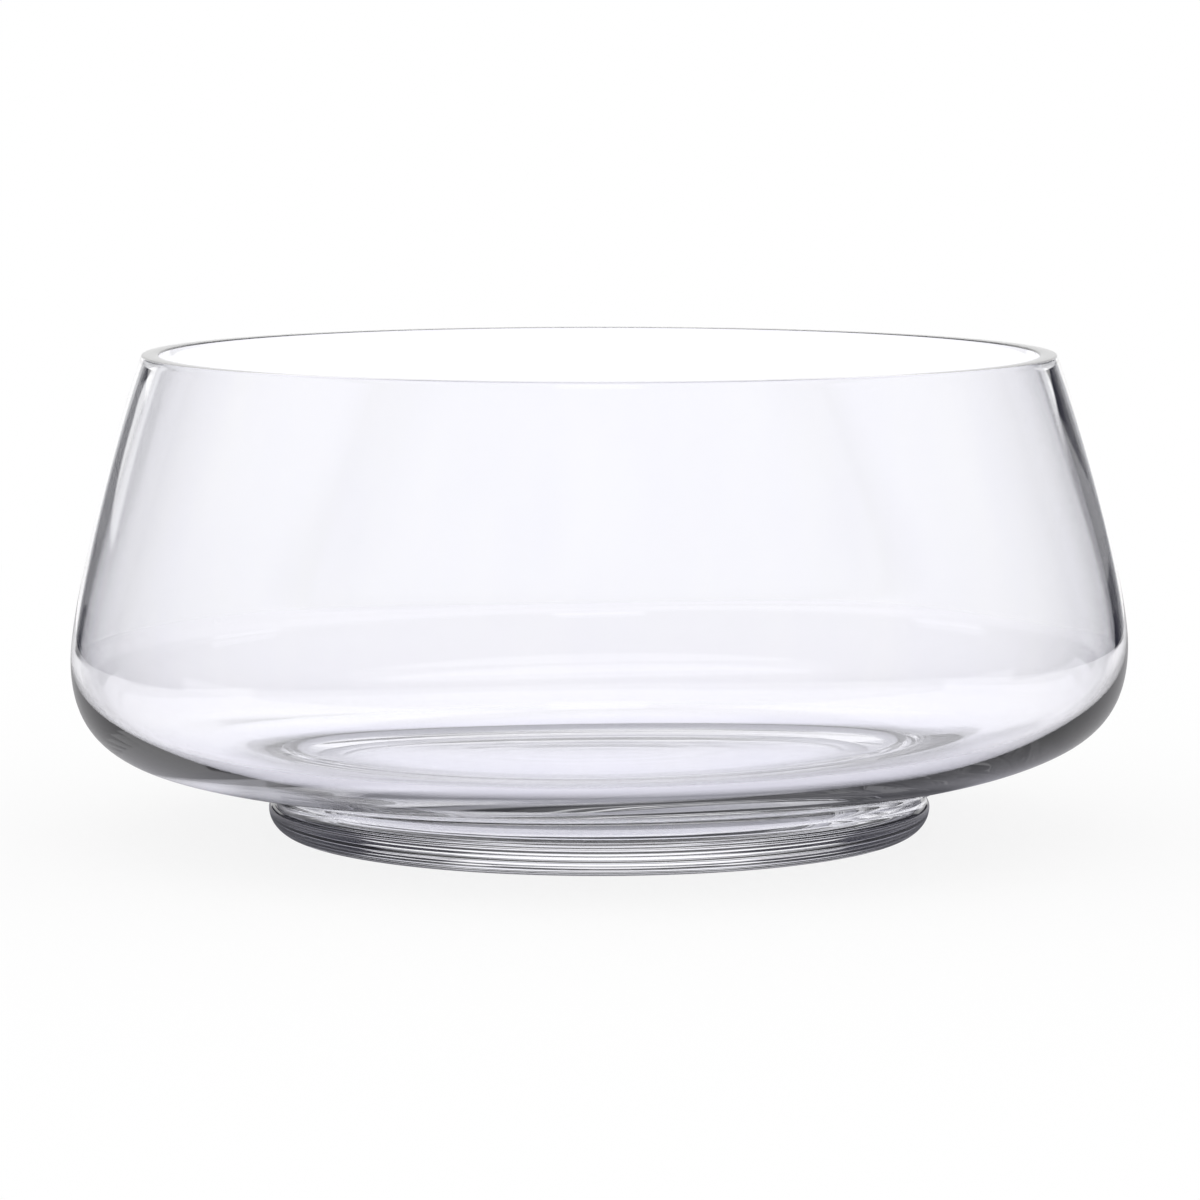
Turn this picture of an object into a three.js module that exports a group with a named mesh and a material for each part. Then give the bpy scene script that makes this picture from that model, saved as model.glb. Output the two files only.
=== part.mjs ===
// Clear glass serving bowl: a blown bowl body fused to a solid glass foot.
// Millimetres, +Z up. The origin is the middle of the foot's underside, on the table.
import * as THREE from 'three';

// Foot: a solid glass disc with a rounded edge and a shallow hollow in its underside
const FOOT_RADIUS = 82.75;
const FOOT_THICKNESS = 9.25;
const FOOT_LEDGE = 3.0; // how far the edge stands out past the joint with the bowl
const FOOT_TOP_ROUND = 2.6; // height of the small roll from the joint to the widest line
const FOOT_EDGE_ROUND = 7.25; // width of the large round from the widest line to the rest face
const REST_WIDTH = 5.5; // the flat ring that the foot stands on, between the edge and the hollow
const HOLLOW_DEPTH = 1.0; // at the middle, so that the glass stands on its ring and does not rock

// Bowl body: heights are measured up from the joint with the foot
const BODY_HEIGHT = 110.75; // joint to cut rim
const RIM_RADIUS = 113.8; // outside edge of the cut rim
const RIM_WALL = 4.4;
const RIM_BEVEL = 0.5; // polished arris on both edges of the cut
const SIDE_LEAN = 20; // degrees from upright, where the side leaves the rim
const BELLY_RADIUS = 131.8; // widest ring, low on the side
const BELLY_RISE = 36.75;
const BELLY_WALL = 2.8; // blown thinnest where the glass is stretched most
const NECK_WIDTH = 19.3; // from the joint out to the ring where shoulder turns to neck
const NECK_RISE = 7.15;
const NECK_SLOPE = 31; // degrees from level, where the neck runs into the foot
const UNDERSIDE_SLOPE = 10; // degrees from level, at the ring where shoulder turns to neck
const UNDERSIDE_WALL = 4.4;
const FLOOR_THICKNESS = 3.75; // glass of the bowl above the joint, at the middle
const FLOOR_RADIUS = 60; // the level middle of the floor, before it rises to the underside's slope

// Fullness of the curves: the reach of each end's tangent as a share of the curve's own span
const SIDE_FULLNESS = { rim: 0.33, belly: 0.17 };
const SHOULDER_FULLNESS = { belly: 0.83, underside: 0.64 };
const FLOOR_FULLNESS = 0.35;
const EVEN_FULLNESS = 0.33;
const ROUND_FULLNESS = 0.55; // a quarter round

// Facets: steps around the axis, and steps along each stretch of a profile
const TURN_STEPS = 60;
const LONG_STEPS = 8;
const TIGHT_STEPS = 11;
const SHORT_STEPS = 5;

const SAME_POINT = 1e-6; // two points closer than this are one

const GLASS_COLOUR = 0xeef2f4;
const GLASS_ROUGHNESS = 0.03;
const GLASS_OPACITY = 0.35;

// Points of a profile are (radius, height)
const point = (radius, height) => new THREE.Vector2(radius, height);

// A smooth curve that leaves `start` towards `startHandle` and reaches `end` from `endHandle`
function bend(start, startHandle, endHandle, end, steps) {
  return new THREE.CubicBezierCurve(start, startHandle, endHandle, end).getPoints(steps);
}

// A point at `reach` from `from`, downwards and outwards, leaning `lean` degrees from upright
function downFrom(from, lean, reach) {
  const angle = THREE.MathUtils.degToRad(lean);
  return point(from.x + reach * Math.sin(angle), from.y - reach * Math.cos(angle));
}

// A point at `reach` from `from`, inwards and downwards on a slope of `slope` degrees from level
function inFrom(from, slope, reach) {
  const angle = THREE.MathUtils.degToRad(slope);
  return point(from.x - reach * Math.cos(angle), from.y - reach * Math.sin(angle));
}

// Chains stretches of a profile and leaves out the points where one repeats the last
function chain(...stretches) {
  const outline = [];
  for (const next of stretches.flat()) {
    const last = outline.at(-1);
    if (!last || last.distanceTo(next) > SAME_POINT) outline.push(next);
  }
  return outline;
}

// The solid of revolution of a profile that starts and ends on the axis, turned to stand on Z
function turned(outline) {
  return new THREE.LatheGeometry(outline, TURN_STEPS).rotateX(Math.PI / 2);
}

const jointRadius = FOOT_RADIUS - FOOT_LEDGE;
const jointEdge = point(jointRadius, FOOT_THICKNESS);
const rimHeight = FOOT_THICKNESS + BODY_HEIGHT;
const bellyHeight = FOOT_THICKNESS + BELLY_RISE;

// The leaning side, from the rim down to the widest ring, where it stands upright
function sideCurve(rim, belly) {
  const span = rim.y - belly.y;
  const rimHandle = downFrom(rim, SIDE_LEAN, SIDE_FULLNESS.rim * span);
  const bellyHandle = downFrom(belly, 0, -SIDE_FULLNESS.belly * span);
  return bend(rim, rimHandle, bellyHandle, belly, LONG_STEPS);
}

// The low shoulder: rounds the corner where the upright belly and the sloping underside would meet
function shoulderCurve(belly, underside) {
  const slope = THREE.MathUtils.degToRad(UNDERSIDE_SLOPE);
  const reach = (belly.x - underside.x) / Math.cos(slope);
  const corner = inFrom(underside, UNDERSIDE_SLOPE, -reach);
  const bellyHandle = belly.clone().lerp(corner, SHOULDER_FULLNESS.belly);
  const undersideHandle = underside.clone().lerp(corner, SHOULDER_FULLNESS.underside);
  return bend(belly, bellyHandle, undersideHandle, underside, TIGHT_STEPS);
}

// The hollow neck, steepening from the underside into the joint with the foot
function neckCurve(underside) {
  const undersideHandle = inFrom(underside, UNDERSIDE_SLOPE, EVEN_FULLNESS * NECK_WIDTH);
  const jointHandle = inFrom(jointEdge, NECK_SLOPE, -EVEN_FULLNESS * NECK_WIDTH);
  return bend(underside, undersideHandle, jointHandle, jointEdge, SHORT_STEPS);
}

// The inside floor, easing from the underside's slope to the level middle
function floorCurve(underside, middle) {
  const level = point(FLOOR_RADIUS, middle.y);
  const reach = FLOOR_FULLNESS * underside.distanceTo(level);
  const undersideHandle = inFrom(underside, UNDERSIDE_SLOPE, reach);
  const levelHandle = point(level.x + reach, level.y);
  return [...bend(underside, undersideHandle, levelHandle, level, LONG_STEPS), middle];
}

function bowlOutline() {
  const bevelHeight = rimHeight - RIM_BEVEL;
  const rimOuter = point(RIM_RADIUS, bevelHeight);
  const rimInner = point(RIM_RADIUS - RIM_WALL, bevelHeight);
  const bellyOuter = point(BELLY_RADIUS, bellyHeight);
  const bellyInner = point(BELLY_RADIUS - BELLY_WALL, bellyHeight);
  const undersideOuter = point(jointRadius + NECK_WIDTH, FOOT_THICKNESS + NECK_RISE);
  const undersideInner = inFrom(undersideOuter, UNDERSIDE_SLOPE + 90, -UNDERSIDE_WALL);
  const middle = point(0, FOOT_THICKNESS + FLOOR_THICKNESS);

  const outside = chain(
    sideCurve(rimOuter, bellyOuter),
    shoulderCurve(bellyOuter, undersideOuter),
    neckCurve(undersideOuter),
  );
  const cutRim = [point(rimOuter.x - RIM_BEVEL, rimHeight), point(rimInner.x + RIM_BEVEL, rimHeight)];
  const inside = chain(
    sideCurve(rimInner, bellyInner),
    shoulderCurve(bellyInner, undersideInner),
    floorCurve(undersideInner, middle),
  );
  return chain([point(0, FOOT_THICKNESS)], outside.reverse(), cutRim, inside);
}

function footOutline() {
  const widest = point(FOOT_RADIUS, FOOT_THICKNESS - FOOT_TOP_ROUND);
  const restEdge = point(FOOT_RADIUS - FOOT_EDGE_ROUND, 0);
  const hollowRadius = restEdge.x - REST_WIDTH;
  const hollow = bend(
    point(0, HOLLOW_DEPTH),
    point(EVEN_FULLNESS * hollowRadius, HOLLOW_DEPTH),
    point(2 * EVEN_FULLNESS * hollowRadius, 2 * EVEN_FULLNESS * HOLLOW_DEPTH),
    point(hollowRadius, 0),
    LONG_STEPS,
  );
  const edgeRound = bend(
    restEdge,
    point(restEdge.x + ROUND_FULLNESS * FOOT_EDGE_ROUND, 0),
    point(FOOT_RADIUS, (1 - ROUND_FULLNESS) * widest.y),
    widest,
    LONG_STEPS,
  );
  const topRoll = bend(
    widest,
    point(FOOT_RADIUS, widest.y + ROUND_FULLNESS * FOOT_TOP_ROUND),
    point(jointRadius + ROUND_FULLNESS * FOOT_LEDGE, FOOT_THICKNESS),
    jointEdge,
    SHORT_STEPS,
  );
  return chain(hollow, edgeRound, topRoll, [point(0, FOOT_THICKNESS)]);
}

function glassPiece(name, outline) {
  const glass = new THREE.MeshStandardMaterial({
    color: GLASS_COLOUR,
    roughness: GLASS_ROUGHNESS,
    metalness: 0,
    transparent: true,
    opacity: GLASS_OPACITY,
  });
  const piece = new THREE.Mesh(turned(outline), glass);
  piece.name = name;
  return piece;
}

const servingBowl = new THREE.Group();
servingBowl.name = 'serving_bowl';
servingBowl.add(glassPiece('bowl_body', bowlOutline()));
servingBowl.add(glassPiece('foot', footOutline()));

export default servingBowl;
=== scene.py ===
# %% [markdown]
# # A clear glass serving bowl
# The real bowl is two gathers of clear glass: a blown body and a solid foot that was pressed on while hot.
# Both are bodies of revolution, so one drawn section each says almost everything about them.
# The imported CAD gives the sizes. This script draws the same sections again with far more points, because
# glass bends light at every facet, and then lights them as a studio lights glass: bright behind, dark beside.

import bpy
import numpy as np
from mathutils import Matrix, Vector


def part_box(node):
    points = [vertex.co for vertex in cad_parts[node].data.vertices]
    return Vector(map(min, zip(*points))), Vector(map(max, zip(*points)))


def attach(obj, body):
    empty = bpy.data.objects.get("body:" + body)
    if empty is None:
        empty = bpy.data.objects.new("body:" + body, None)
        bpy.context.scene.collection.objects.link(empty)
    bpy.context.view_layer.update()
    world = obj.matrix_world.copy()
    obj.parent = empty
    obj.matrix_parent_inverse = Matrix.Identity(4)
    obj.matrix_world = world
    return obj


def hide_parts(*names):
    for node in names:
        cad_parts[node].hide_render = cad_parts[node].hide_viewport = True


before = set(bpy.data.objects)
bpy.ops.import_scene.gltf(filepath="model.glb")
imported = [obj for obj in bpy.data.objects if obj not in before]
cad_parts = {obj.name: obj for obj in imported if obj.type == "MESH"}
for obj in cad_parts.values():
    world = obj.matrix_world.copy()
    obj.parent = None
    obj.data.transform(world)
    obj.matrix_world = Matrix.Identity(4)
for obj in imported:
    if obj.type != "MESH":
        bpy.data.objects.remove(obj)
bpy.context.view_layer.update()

# %% [markdown]
# ## The camera
# A long lens from about 1.4 m, a little above the rim, gives the flat ellipses of the rim and the foot.
# Its place was worked out from those ellipses: their widths give the distance and their heights the tilt.

# %% Camera
CAMERA_PLACE = (0.0002, -1.4153, 0.2066)
CAMERA_TILT = 0.1046  # radians below level
LENS_HALF_ANGLE = np.arctan(600 / 5691)  # half the picture's width over the lens's length, in pixels
CAMERA_REACH = 50  # metres

camera_data = bpy.data.cameras.new("studio_camera")
camera_data.sensor_fit = "HORIZONTAL"
camera_data.angle = 2 * LENS_HALF_ANGLE
camera_data.clip_end = CAMERA_REACH
camera = bpy.data.objects.new("studio_camera", camera_data)
camera.location = CAMERA_PLACE
camera.rotation_euler = (np.pi / 2 - CAMERA_TILT, 0, 0)
bpy.context.scene.collection.objects.link(camera)
bpy.context.scene.camera = camera
print("Camera lens in mm:", round(camera_data.lens, 1))

# %% [markdown]
# ## Drawing a section
# A section is a line of (radius, height) points in millimetres. Smooth stretches of blown glass are cubic
# Bezier curves, because two end points and two handles are just what a glassworker's template fixes:
# where the curve starts and ends, and which way it leaves. A short list of numbers then holds the whole form.

# %% Curves of a section
MM = 1000  # millimetres in a metre
SAME_POINT = 1e-4  # steps shorter than this repeat a point

FOOT_RADIUS, _, JOINT_HEIGHT = np.array(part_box("foot")[1]) * MM
BELLY_RADIUS, _, RIM_HEIGHT = np.array(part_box("bowl_body")[1]) * MM


def bend(start, start_handle, end_handle, end, count):
    """Cubic Bezier: the four points weighted by (1-t)^3, 3(1-t)^2 t, 3(1-t) t^2 and t^3, for t from 0 to 1."""
    t = np.linspace(0, 1, count)[:, None]
    corners = [np.asarray(p, float) for p in (start, start_handle, end_handle, end)]
    weights = [(1 - t) ** 3, 3 * (1 - t) ** 2 * t, 3 * (1 - t) * t**2, t**3]
    return sum(w * p for w, p in zip(weights, corners))


def heading(slope_degrees):
    """Unit step inwards and downwards, the slope given in degrees from level."""
    slope = np.radians(slope_degrees)
    return np.array([-np.cos(slope), -np.sin(slope)])


def chain(*stretches):
    """Joins stretches end to end and drops each point that only repeats the one before it."""
    line = np.vstack([np.atleast_2d(s) for s in stretches])
    steps = np.hypot(*np.diff(line, axis=0).T)
    return line[np.concatenate([[True], steps > SAME_POINT])]


print("Joint, rim, belly, foot (mm):", JOINT_HEIGHT, RIM_HEIGHT, BELLY_RADIUS, FOOT_RADIUS)

# %% [markdown]
# ## The section of the blown body
# The wall isn't even. It is thickest at the cut rim, thinnest at the belly where the bubble was stretched
# most, and thick again under the shoulder where the glass stayed cool against the foot. The eye reads this
# as the dark edge band of the bowl, so the inside line is drawn on its own and not as an offset.

# %% Body section
RIM_RADIUS, RIM_WALL, RIM_ROUND = 113.8, 4.4, 0.5
BELLY_HEIGHT, BELLY_WALL = 46.0, 2.8
FOOT_LEDGE = 3.0  # how far the foot reaches past the crease
NECK_WIDTH, NECK_RISE = 19.3, 7.15
SIDE_SLOPE, NECK_SLOPE, UNDERSIDE_SLOPE = 70, 31, 10  # degrees from level: at the rim, the crease, the neck
UNDERSIDE_WALL = 4.4
FLOOR_THICKNESS, FLOOR_RADIUS = 3.75, 60.0  # the middle of the floor is level
SIDE_HANDLES = 0.33, 0.17  # lengths of the handles as shares of each stretch
SHOULDER_HANDLES = 0.83, 0.64
NECK_HANDLE, FLOOR_HANDLE = 0.33, 0.35
RIM_HANDLE = 0.28  # in millimetres, for a quarter circle
SIDE_POINTS, SHOULDER_POINTS, NECK_POINTS = 44, 80, 30
LIP_POINTS, FLOOR_POINTS, MIDDLE_POINTS = 5, 50, 56

JOINT_EDGE = np.array([FOOT_RADIUS - FOOT_LEDGE, JOINT_HEIGHT])
NECK = JOINT_EDGE + [NECK_WIDTH, NECK_RISE]


def side_line(rim, belly):
    """From the rim down to the upright belly: leaves along the side's slope, arrives straight down."""
    span = rim[1] - belly[1]
    outward = heading(SIDE_SLOPE) * [-1, 1]
    leave, arrive = SIDE_HANDLES
    return bend(rim, rim + leave * span * outward, belly + [0, arrive * span], belly, SIDE_POINTS)


def shoulder_line(belly, underside):
    """Rounds the corner between the upright belly and the underside; the handles reach into the corner."""
    reach = (belly[0] - underside[0]) / np.cos(np.radians(UNDERSIDE_SLOPE))
    corner = underside - reach * heading(UNDERSIDE_SLOPE)
    leave, arrive = SHOULDER_HANDLES
    return bend(belly, belly + leave * (corner - belly),
                underside + arrive * (corner - underside), underside, SHOULDER_POINTS)


def body_section():
    """Axis at the joint, out to the crease, up the outside, over the rim, down the inside to the axis; also
    gives the number of points before the inside."""
    rim_out = np.array([RIM_RADIUS, RIM_HEIGHT - RIM_ROUND])
    rim_in = rim_out - [RIM_WALL, 0]
    belly_out = np.array([BELLY_RADIUS, BELLY_HEIGHT])
    belly_in = belly_out - [BELLY_WALL, 0]
    under_in = NECK + UNDERSIDE_WALL * heading(UNDERSIDE_SLOPE)[::-1] * [1, -1]
    reach = NECK_HANDLE * NECK_WIDTH
    neck = bend(NECK, NECK + reach * heading(UNDERSIDE_SLOPE),
                JOINT_EDGE - reach * heading(NECK_SLOPE), JOINT_EDGE, NECK_POINTS)
    outside = chain(side_line(rim_out, belly_out), shoulder_line(belly_out, NECK), neck)
    top_out, top_in = rim_out + [-RIM_ROUND, RIM_ROUND], rim_in + [RIM_ROUND, RIM_ROUND]
    up, across = np.array([0, RIM_HANDLE]), np.array([RIM_HANDLE, 0])
    lip = chain(bend(rim_out, rim_out + up, top_out + across, top_out, LIP_POINTS),
                bend(top_in, top_in - across, rim_in + up, rim_in, LIP_POINTS))
    level = np.array([FLOOR_RADIUS, JOINT_HEIGHT + FLOOR_THICKNESS])
    reach = FLOOR_HANDLE * np.hypot(*(under_in - level))
    floor = bend(under_in, under_in + reach * heading(UNDERSIDE_SLOPE), level + [reach, 0], level, FLOOR_POINTS)
    middle = np.linspace(level, [0, level[1]], MIDDLE_POINTS)
    inside = chain(side_line(rim_in, belly_in), shoulder_line(belly_in, under_in), floor, middle)
    return chain([0, JOINT_HEIGHT], outside[::-1], lip, inside), len(outside) + len(lip)


BODY_SECTION, INSIDE_FROM = body_section()
print("Body section:", len(BODY_SECTION), "points, widest radius", BODY_SECTION[:, 0].max().round(2))

# %% [markdown]
# ## The section of the foot
# The foot is one solid pad of glass. Its edge is a fire-softened round, its top runs into the crease where
# the body sits on it, and underneath it is slightly hollow, so that it stands on a ring and doesn't rock.

# %% Foot section
FOOT_ROLL = 2.6  # height of the small roll above the widest line
EDGE_ROUND, REST_WIDTH, HOLLOW_DEPTH = 7.25, 5.5, 1.0
ROUND_HANDLE = 0.55  # of a quarter circle
HOLLOW_HANDLES = 0.33, 0.66
HOLLOW_POINTS, EDGE_POINTS, ROLL_POINTS = 60, 36, 24

REST_EDGE = FOOT_RADIUS - EDGE_ROUND
HOLLOW_RADIUS = REST_EDGE - REST_WIDTH


def foot_section():
    """Axis in the hollow, out over the rest ring, up the rounded edge, in to the crease, to the axis."""
    widest = np.array([FOOT_RADIUS, JOINT_HEIGHT - FOOT_ROLL])
    near, far = HOLLOW_HANDLES
    hollow = bend([0, HOLLOW_DEPTH], [near * HOLLOW_RADIUS, HOLLOW_DEPTH],
                  [far * HOLLOW_RADIUS, far * HOLLOW_DEPTH], [HOLLOW_RADIUS, 0], HOLLOW_POINTS)
    edge = bend([REST_EDGE, 0], [REST_EDGE + ROUND_HANDLE * EDGE_ROUND, 0],
                [FOOT_RADIUS, (1 - ROUND_HANDLE) * widest[1]], widest, EDGE_POINTS)
    roll = bend(widest, widest + [0, ROUND_HANDLE * FOOT_ROLL],
                JOINT_EDGE + [ROUND_HANDLE * FOOT_LEDGE, 0], JOINT_EDGE, ROLL_POINTS)
    return chain(hollow, edge, roll, [0, JOINT_HEIGHT])


FOOT_SECTION = foot_section()
print("Foot section:", len(FOOT_SECTION), "points")

# %% [markdown]
# ## Turning a section into a closed solid
# A Spin or Screw modifier could turn the sections, but a grid worked out in numpy gives exact control of
# the seam and the poles: ring i, column j is the section's point i turned by the angle of column j, and the
# last column's faces run back to the first, so there is no seam to weld.

# %% Solid of revolution
TURN_STEPS = 256


def turned_grid(section):
    """Point (i, j) is radius_i * (cos a_j, sin a_j) at height_i, with a_j in equal steps of a turn; metres."""
    angle = np.arange(TURN_STEPS) * 2 * np.pi / TURN_STEPS
    radius, height = section[:, :1] / MM, section[:, 1:] / MM
    return np.stack([radius * np.cos(angle), radius * np.sin(angle), height + 0 * angle], axis=-1)


def closed_faces(rings):
    """Quads between neighbouring rings, column j to j+1 and wrapping round, and a fan of triangles at each pole."""
    j = np.arange(TURN_STEPS)
    following = (j + 1) % TURN_STEPS
    row = np.arange(rings - 1)[:, None] * TURN_STEPS
    quads = np.stack([row + j, row + following, row + TURN_STEPS + following, row + TURN_STEPS + j], axis=-1)
    low_pole, high_pole = rings * TURN_STEPS, rings * TURN_STEPS + 1
    last = (rings - 1) * TURN_STEPS
    low_fan = np.stack([np.full_like(j, low_pole), following, j], axis=-1)
    high_fan = np.stack([np.full_like(j, high_pole), last + j, last + following], axis=-1)
    return quads.reshape(-1, 4), low_fan, high_fan


def solid_piece(name, grid, section, joint_fan):
    """A mesh object from a turned grid and the section's two points on the axis; one fan is the fused joint."""
    poles = np.array([[0, 0, section[0, 1]], [0, 0, section[-1, 1]]]) / MM
    quads, low_fan, high_fan = closed_faces(len(grid))
    points = np.vstack([grid.reshape(-1, 3), poles])
    mesh = bpy.data.meshes.new(name)
    mesh.from_pydata(points, [], quads.tolist() + low_fan.tolist() + high_fan.tolist())
    in_joint = np.zeros(len(mesh.polygons), bool)
    start = len(quads) + (0 if joint_fan == "low" else TURN_STEPS)
    in_joint[start:start + TURN_STEPS] = True
    mesh.polygons.foreach_set("use_smooth", ~in_joint)
    mesh.polygons.foreach_set("material_index", in_joint.astype(np.int32))
    mesh.update()
    piece = bpy.data.objects.new(name, mesh)
    bpy.context.scene.collection.objects.link(piece)
    print(name, "triangles:", 2 * len(quads) + 2 * TURN_STEPS)
    return piece


foot = solid_piece("pressed_foot", turned_grid(FOOT_SECTION[1:-1]), FOOT_SECTION, "high")

# %% [markdown]
# ## What the hand leaves in blown glass
# A blown bowl is never quite true. This one's lower body sits askew on its foot, about 2 mm low on the left and
# high on the right, its wall is a little thicker on the right, its surface has long soft waves, and the floor
# keeps a few rings from the pressing of the foot. A Simple Deform and a Wave modifier could do parts of this,
# but each of these is one short formula on the grid, so they are added there, in millimetres.

# %% Blown body
LEAN = 0.014  # rise per unit of x, about 0.8 degrees
LEAN_FULL, LEAN_FADE = 22.0, 60.0  # heights between which the whole lean shows
OFF_CENTRE = 0.25  # how far the inside sits to the left
WAVE_HEIGHT, WAVE_RISE = 0.02, 80.0  # depth of the soft waves, and their spacing up the wall
WAVES_LONG, WAVES_SHORT, SHORT_SHARE, SHORT_RISE = 2, 5, 0.6, -1.3  # two sets: waves in a turn, depth, twist
WAVE_START, WAVE_END = (90, 110), (1, 15)  # they come in over these radii and go out at these depths below the rim
RIPPLE_RADIUS, RIPPLE_PITCH, RIPPLE_WIDTH, RIPPLE_HEIGHT = 33.0, 11.0, 12.0, 0.012  # rings on the floor


def smooth(value, low, high):
    """Smooth step 3s^2 - 2s^3, where s is the share of the way from low to high, kept between 0 and 1."""
    s = np.clip((value - low) / (high - low), 0, 1)
    return s * s * (3 - 2 * s)


def blown_by_hand(grid):
    """Adds to a turned grid: z + lean * x, faded out at the joint and the rim; a radius that swells by
    sines of the angle and height; the inside moved in x; and rings, a cosine of the radius, on the floor."""
    x, y, z = np.moveaxis(grid * MM, -1, 0)
    inside = (np.arange(len(grid)) >= INSIDE_FROM)[:, None]
    radius, angle = np.hypot(x, y), np.arctan2(y, x)
    from_joint = np.where(inside, 1.0, smooth(z, JOINT_HEIGHT, LEAN_FULL))
    to_rim = 1 - smooth(z, LEAN_FADE, RIM_HEIGHT)
    rise = 2 * np.pi * z / WAVE_RISE
    waves = np.sin(WAVES_LONG * angle + rise)
    waves = waves + SHORT_SHARE * np.sin(WAVES_SHORT * angle + SHORT_RISE * rise + 2 * inside)
    swell = WAVE_HEIGHT * from_joint * waves * smooth(radius, *WAVE_START) * smooth(RIM_HEIGHT - z, *WAVE_END)
    ring = (radius - RIPPLE_RADIUS) / RIPPLE_WIDTH
    ripple = RIPPLE_HEIGHT * np.cos(2 * np.pi * (radius - RIPPLE_RADIUS) / RIPPLE_PITCH) * np.exp(-ring**2)
    stretch = 1 + swell / radius
    moved = np.stack([x * stretch - OFF_CENTRE * inside * to_rim, y * stretch,
                      z + LEAN * x * from_joint * to_rim + ripple * inside], axis=-1)
    return moved / MM


body = solid_piece("blown_body", blown_by_hand(turned_grid(BODY_SECTION[1:-1])), BODY_SECTION, "low")

# %% [markdown]
# ## The glass
# Clear soda-lime glass, fire-bright on every face. It has almost no colour at this thickness: only a cool trace,
# in faint streaks where the melt wasn't quite even. What the eye gets is how it bends and mirrors the light, so
# the index of refraction matters most. A Glass BSDF would do, but the Principled shader is what exports well.
# Where body and foot fused there is no surface left to see, so the two joint faces are fully transparent.

# %% Glass material
def linear(hex_colour):
    """sRGB hex to linear RGBA: c/12.92 below 0.04045, otherwise ((c+0.055)/1.055)^2.4."""
    c = np.array([int(hex_colour[i:i + 2], 16) for i in (1, 3, 5)]) / 255
    return (*np.where(c < 0.04045, c / 12.92, ((c + 0.055) / 1.055) ** 2.4), 1.0)


def add(tree, kind, values=(), links=(), **settings):
    """Adds a node: settings are its properties, values its unlinked sockets, links its linked ones."""
    node = tree.nodes.new(kind)
    for name, value in settings.items():
        setattr(node, name, value)
    for socket, value in dict(values).items():
        node.inputs[socket].default_value = value
    for socket, source in dict(links).items():
        tree.links.new(source, node.inputs[socket])
    return node


def new_material(name):
    """An empty material and its node tree."""
    material = bpy.data.materials.new(name)
    material.use_nodes = True
    material.node_tree.nodes.clear()
    return material, material.node_tree


WHITE = linear("#FFFFFF")
GLASS_IOR = 1.52
STREAK_SPACING, STREAK_DETAIL = 0.018, 2.0  # metres between streaks, and how many finer ones lie in them
STREAK_SQUASH = 0.3  # the pattern's height shrinks to this, which draws the streaks out upwards


def streaked_glass(name, light, cool, gloss):
    """Clear glass with faint upright streaks between two near-white tints; gloss tints what its faces mirror."""
    material, tree = new_material(name)
    place = add(tree, "ShaderNodeTexCoord")
    drawn = add(tree, "ShaderNodeMapping", {"Scale": (1, 1, STREAK_SQUASH)}, {"Vector": place.outputs["Object"]})
    streaks = add(tree, "ShaderNodeTexNoise", {"Scale": 1 / STREAK_SPACING, "Detail": STREAK_DETAIL},
                  {"Vector": drawn.outputs[0]})
    tint = add(tree, "ShaderNodeValToRGB", links={0: streaks.outputs[0]})
    tint.color_ramp.elements[0].color = linear(cool)
    tint.color_ramp.elements[1].color = linear(light)
    shader = add(tree, "ShaderNodeBsdfPrincipled", {
        "Roughness": 0.0, "IOR": GLASS_IOR, "Transmission Weight": 1.0, "Specular Tint": linear(gloss)},
        {"Base Color": tint.outputs[0]})
    add(tree, "ShaderNodeOutputMaterial", links={"Surface": shader.outputs["BSDF"]})
    return material


# Bright and colourless: the eye gets only bent light and thin edge lines.
blown_glass = streaked_glass("soda_lime_glass_blown", "#FEFEFF", "#FAFAFE", "#FFFFFF")
# Thick, so a little deeper in tint; its grey gloss tint is painted shade that dims all it mirrors: the eye gets
# stripes of light between darker ends.
foot_glass = streaked_glass("soda_lime_glass_pressed", "#FDFDFF", "#F8F8FC", "#E6E6EA")

# Nothing for the eye: the two pieces read as one glass here.
fused, tree = new_material("fused_glass_joint")
shader = add(tree, "ShaderNodeBsdfPrincipled", {"Base Color": WHITE, "Alpha": 0.0})
add(tree, "ShaderNodeOutputMaterial", links={"Surface": shader.outputs["BSDF"]})

for piece, glass in ((body, blown_glass), (foot, foot_glass)):
    piece.data.materials.append(glass)
    piece.data.materials.append(fused)
print("Glass index:", GLASS_IOR)

# %% [markdown]
# ## The studio
# Glass has no shade of its own, so a studio draws it with its surroundings. A white panel behind fills the clear
# wall. It is narrow near the table, so that the steep edges of the wall bend past it into the dim room: that is
# the dark line inside each edge. A light overhead brightens the foot, and narrow low panels stand to the sides
# and in front, so that the bowl reads in the same way from there. Area lamps could stand in these places, but a
# world drawn by direction has no distance, so no lamp shows up close in the thick glass.
# Light that is thrown about many times inside the glass goes a long way in it, and real glass takes a little all
# along. This glass takes nothing, so the studio is dimmed by Light Path's Glossy Depth, which counts the turns.
# How much is chosen: it gives the dark band under the shoulder and the dark ends of the foot.

# %% World
PANEL_MIDDLE, PANEL_SOFT = np.radians(-1), np.radians(3)
PANEL_FOOT, PANEL_FOOT_HALF, PANEL_HALF = np.radians(3), np.radians(16), np.radians(33)
PANEL_TOP, PANEL_FADE = np.radians(42), np.radians(8)
STRIP_EVERY, STRIP_HALF, STRIP_SOFT = np.radians(90), np.radians(9), np.radians(3)
STRIP_TOP, STRIP_FADE = np.radians(0), np.radians(3)
SKY_FROM, SKY_SOFT = np.radians(58), np.radians(8)
WHITE_SEEN = 1.13  # makes up for what four glass faces mirror away
DARK_ROOM = "#1E1E28"  # what lies between the lights
DIM_FRONT = "#3C3C46"  # what the outside of the bowl mirrors of the room
TURNS_LEFT = ((0, 1.0), (7, 1.0), (11, 0.1))  # number of turns, and the share of light left

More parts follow.
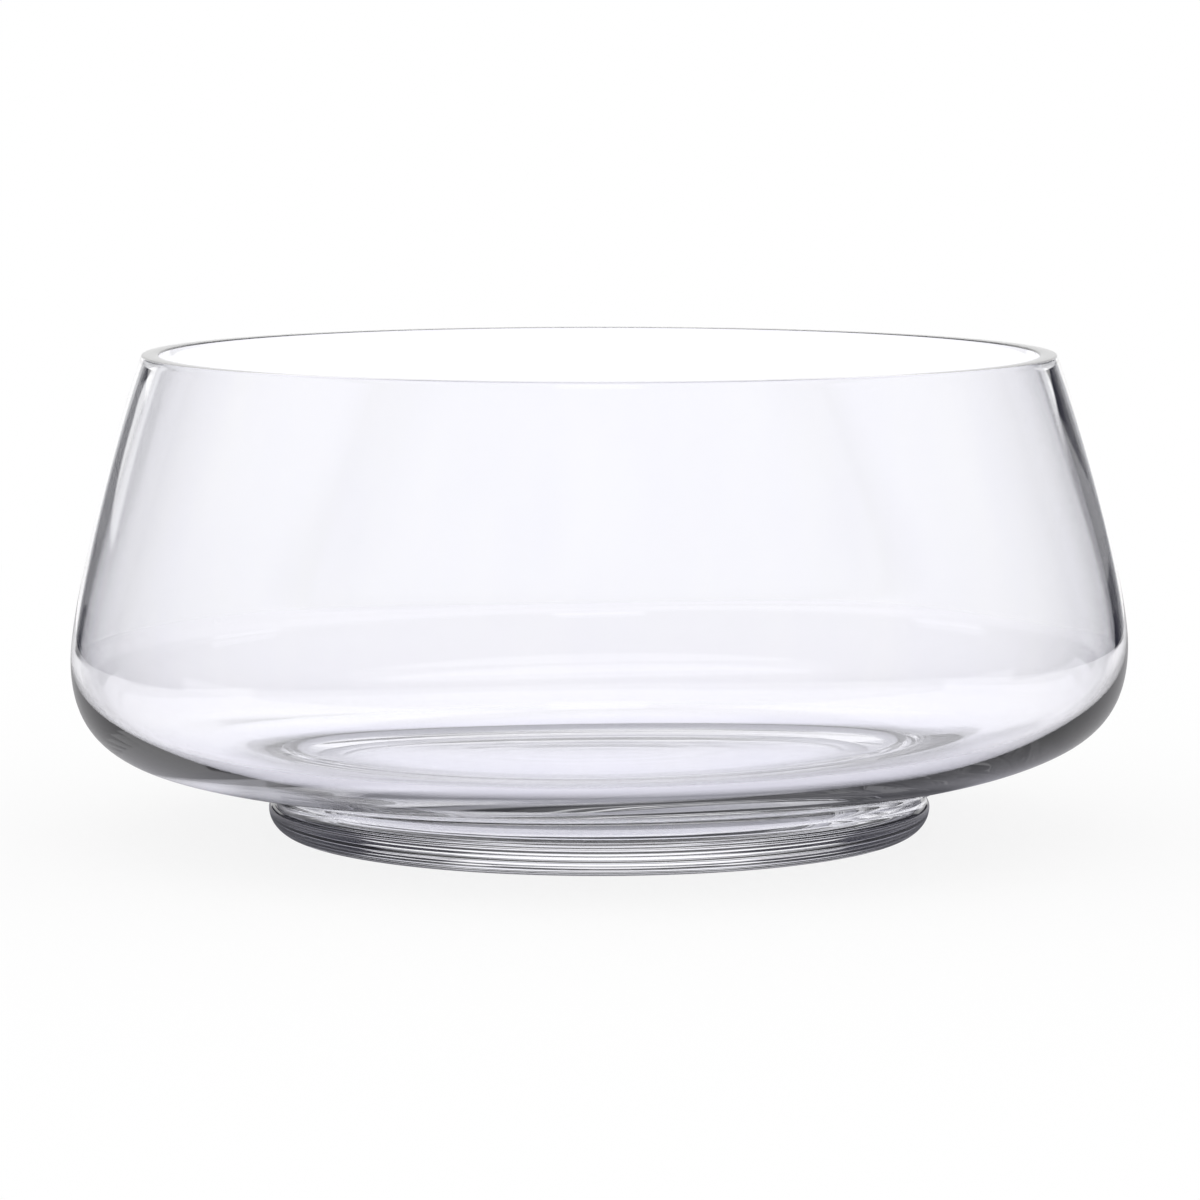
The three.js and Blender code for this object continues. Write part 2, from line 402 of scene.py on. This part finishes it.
world = bpy.data.worlds.new("glass_studio")
bpy.context.scene.world = world
world.use_nodes = True
tree = world.node_tree
tree.nodes.clear()
direction = add(tree, "ShaderNodeTexCoord")
axes = add(tree, "ShaderNodeSeparateXYZ", links={0: direction.outputs["Generated"]})
bearing = add(tree, "ShaderNodeMath", links={0: axes.outputs["X"], 1: axes.outputs["Y"]}, operation="ARCTAN2")
rise = add(tree, "ShaderNodeMath", links={0: axes.outputs["Z"]}, operation="ARCSINE")


def ramp(source, start, soft, low, high):
    """A smooth step of a node's first output, from the value low to the value high."""
    return add(tree, "ShaderNodeMapRange", {1: start, 2: start + soft, 3: low, 4: high}, {0: source.outputs[0]},
               interpolation_type="SMOOTHSTEP")


def both(first, second, operation):
    """One arithmetic node between two others."""
    return add(tree, "ShaderNodeMath", links={0: first.outputs[0], 1: second.outputs[0]}, operation=operation)


def graded(source, grades):
    """A colour ramp over an output that starts at 0: each grade is a value of that output and the colour there."""
    far = grades[-1][0]
    share = add(tree, "ShaderNodeMapRange", {1: 0.0, 2: far}, {0: source})
    colours = add(tree, "ShaderNodeValToRGB", links={0: share.outputs[0]})
    stops = colours.color_ramp.elements
    while len(stops) < len(grades):
        stops.new(1.0)
    for stop, (place, colour) in zip(stops, grades):
        stop.position = place / far
        stop.color = colour
    return colours


def light_left(path):
    """Strength of the studio's light, by the number of turns on its way through the glass."""
    greys = [(turns, (share, share, share, 1.0)) for turns, share in TURNS_LEFT]
    left = graded(path.outputs["Glossy Depth"], greys)
    return add(tree, "ShaderNodeMath", {1: WHITE_SEEN}, {0: left.outputs[0]}, operation="MULTIPLY")


def by_path(path, plain, mirrored, inside):
    """One of three shaders by the light's way: seen plainly, mirrored by the glass's outside, or seen through it."""
    outside = add(tree, "ShaderNodeMixShader",
                  links={0: path.outputs["Is Glossy Ray"], 1: plain.outputs[0], 2: mirrored.outputs[0]})
    entered = add(tree, "ShaderNodeMath", {1: 0.5}, {0: path.outputs["Transmission Depth"]}, operation="GREATER_THAN")
    return add(tree, "ShaderNodeMixShader",
               links={0: entered.outputs[0], 1: outside.outputs[0], 2: inside.outputs[0]})


off_panel = add(tree, "ShaderNodeMath", {1: PANEL_MIDDLE}, {0: bearing.outputs[0]}, operation="SUBTRACT")
off_panel = add(tree, "ShaderNodeMath", links={0: off_panel.outputs[0]}, operation="ABSOLUTE")
half_width = ramp(rise, PANEL_FOOT, PANEL_FOOT, PANEL_FOOT_HALF, PANEL_HALF)
panel = both(ramp(both(off_panel, half_width, "SUBTRACT"), 0.0, PANEL_SOFT, 1.0, 0.0),
             ramp(rise, PANEL_TOP, PANEL_FADE, 1.0, 0.0), "MULTIPLY")
off_strip = add(tree, "ShaderNodeMath", {1: STRIP_EVERY / 2}, {0: bearing.outputs[0]}, operation="PINGPONG")
strips = both(ramp(off_strip, STRIP_HALF, STRIP_SOFT, 1.0, 0.0),
              ramp(rise, STRIP_TOP, STRIP_FADE, 1.0, 0.0), "MULTIPLY")
sky = ramp(rise, SKY_FROM, SKY_SOFT, 0.0, 1.0)
lit = both(both(panel, strips, "MAXIMUM"), sky, "MAXIMUM")
room = add(tree, "ShaderNodeMix", {"A": linear(DARK_ROOM), "B": WHITE}, {"Factor": lit.outputs[0]},
           data_type="RGBA")
path = add(tree, "ShaderNodeLightPath")
studio = add(tree, "ShaderNodeBackground",
             links={"Color": room.outputs["Result"], "Strength": light_left(path).outputs[0]})
page = add(tree, "ShaderNodeBackground", {"Color": WHITE})
front = add(tree, "ShaderNodeMix", {"A": linear(DIM_FRONT), "B": WHITE}, {"Factor": panel.outputs[0]},
            data_type="RGBA")
front = add(tree, "ShaderNodeBackground", links={"Color": front.outputs["Result"]})
seen = by_path(path, page, front, studio)
add(tree, "ShaderNodeOutputWorld", links={"Surface": seen.outputs[0]})
print("Panel half width in degrees:", np.degrees(PANEL_FOOT_HALF), "to", np.degrees(PANEL_HALF))

# %% [markdown]
# ## The table
# The bowl stands on polished white acrylic. Seen steeply through the glass it carries painted shade: pale grey under
# the foot, a cool painted ring of shade where the foot touches it, and white further out; seen at a grazing angle it
# mirrors the room, as the Fresnel node says. The outside of the shoulder mirrors it as a soft grey, which is that
# painted shade made dimmer. The camera sees it white, with a little of the matt surface left in, which keeps the
# bowl's soft shadow.

# %% Table
TABLE_RADIUS, TABLE_SIDES = 0.7, 96
TABLE_DROP = 0.00005  # metres below the foot, so that the faces don't meet
TABLE_SEEN_PAINTED_SHADE = ((0.0, "#DFDEE9"), (0.055, "#D9D8E3"), (0.072, "#A2A2AA"), (0.090, "#94949C"),
              (0.102, "#E5E4EF"), (0.15, "#FDFCFF"))  # radius in metres, and the colour seen through the glass: painted shade under and round the foot, white further out
TABLE_MIRROR_PAINTED_SHADE = 0.48  # how bright the outside of the bowl mirrors it: painted shade, the table's shaded colour made dimmer
SHADOW_SHARE = 0.15
ACRYLIC_IOR, ACRYLIC_ROUGHNESS = 1.49, 0.02

angle = np.arange(TABLE_SIDES) * 2 * np.pi / TABLE_SIDES
edge = np.stack([TABLE_RADIUS * np.cos(angle), TABLE_RADIUS * np.sin(angle), 0 * angle], axis=-1)
mesh = bpy.data.meshes.new("acrylic_table")
mesh.from_pydata(edge, [], [list(range(TABLE_SIDES))])
table = bpy.data.objects.new("acrylic_table", mesh)
table.location.z = -TABLE_DROP
bpy.context.scene.collection.objects.link(table)

# White to the camera; through the glass, painted shade round the foot, with a thin mirror over it at a grazing look.
acrylic, tree = new_material("polished_white_acrylic")
place = add(tree, "ShaderNodeTexCoord")
reach = add(tree, "ShaderNodeVectorMath", links={0: place.outputs["Object"]}, operation="LENGTH")
# Painted shade: through the glass the table is darker under and round the foot.
shade = graded(reach.outputs["Value"], [(radius, linear(colour)) for radius, colour in TABLE_SEEN_PAINTED_SHADE])
path = add(tree, "ShaderNodeLightPath")
white = add(tree, "ShaderNodeEmission",
            links={"Color": shade.outputs["Color"], "Strength": light_left(path).outputs[0]})
polish = add(tree, "ShaderNodeBsdfGlossy", {"Color": WHITE, "Roughness": ACRYLIC_ROUGHNESS})
glance = add(tree, "ShaderNodeFresnel", {"IOR": ACRYLIC_IOR})
in_glass = add(tree, "ShaderNodeMixShader", links={0: glance.outputs[0], 1: white.outputs[0], 2: polish.outputs[0]})
page = add(tree, "ShaderNodeEmission", {"Color": WHITE, "Strength": 1.0})
matt = add(tree, "ShaderNodeBsdfDiffuse", {"Color": WHITE})
keep_shadow = add(tree, "ShaderNodeMixShader", {0: SHADOW_SHARE}, {1: page.outputs[0], 2: matt.outputs[0]})
# Painted shade: the outside of the bowl mirrors the table's shaded colour, dimmed.
mirrored_painted_shade = add(tree, "ShaderNodeEmission", {"Strength": TABLE_MIRROR_PAINTED_SHADE}, {"Color": shade.outputs["Color"]})
seen = by_path(path, keep_shadow, mirrored_painted_shade, in_glass)
add(tree, "ShaderNodeOutputMaterial", links={"Surface": seen.outputs[0]})
table.data.materials.append(acrylic)
print("Table radius in m:", TABLE_RADIUS)

# %% [markdown]
# ## Picture settings
# The Standard view shows colours as they are written. Light that is caught in the wall of the shoulder bounces
# dozens of times before it gets out, so the bounce limits are raised. Otherwise those paths would end black.

# %% Picture settings
scene = bpy.context.scene
scene.view_settings.view_transform = "Standard"
scene.cycles.max_bounces = 80
scene.cycles.glossy_bounces = 64
scene.cycles.transmission_bounces = 32
print("Bounces:", scene.cycles.max_bounces)

# %% [markdown]
# ## Riding on the body
# Each piece rides on the one body and stands for its CAD node, which is hidden.

# %% Ride and replace
for piece, node, slot in ((body, "bowl_body", "bowl_glass"), (foot, "foot", "foot_glass")):
    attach(piece, "root")
    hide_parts(node)
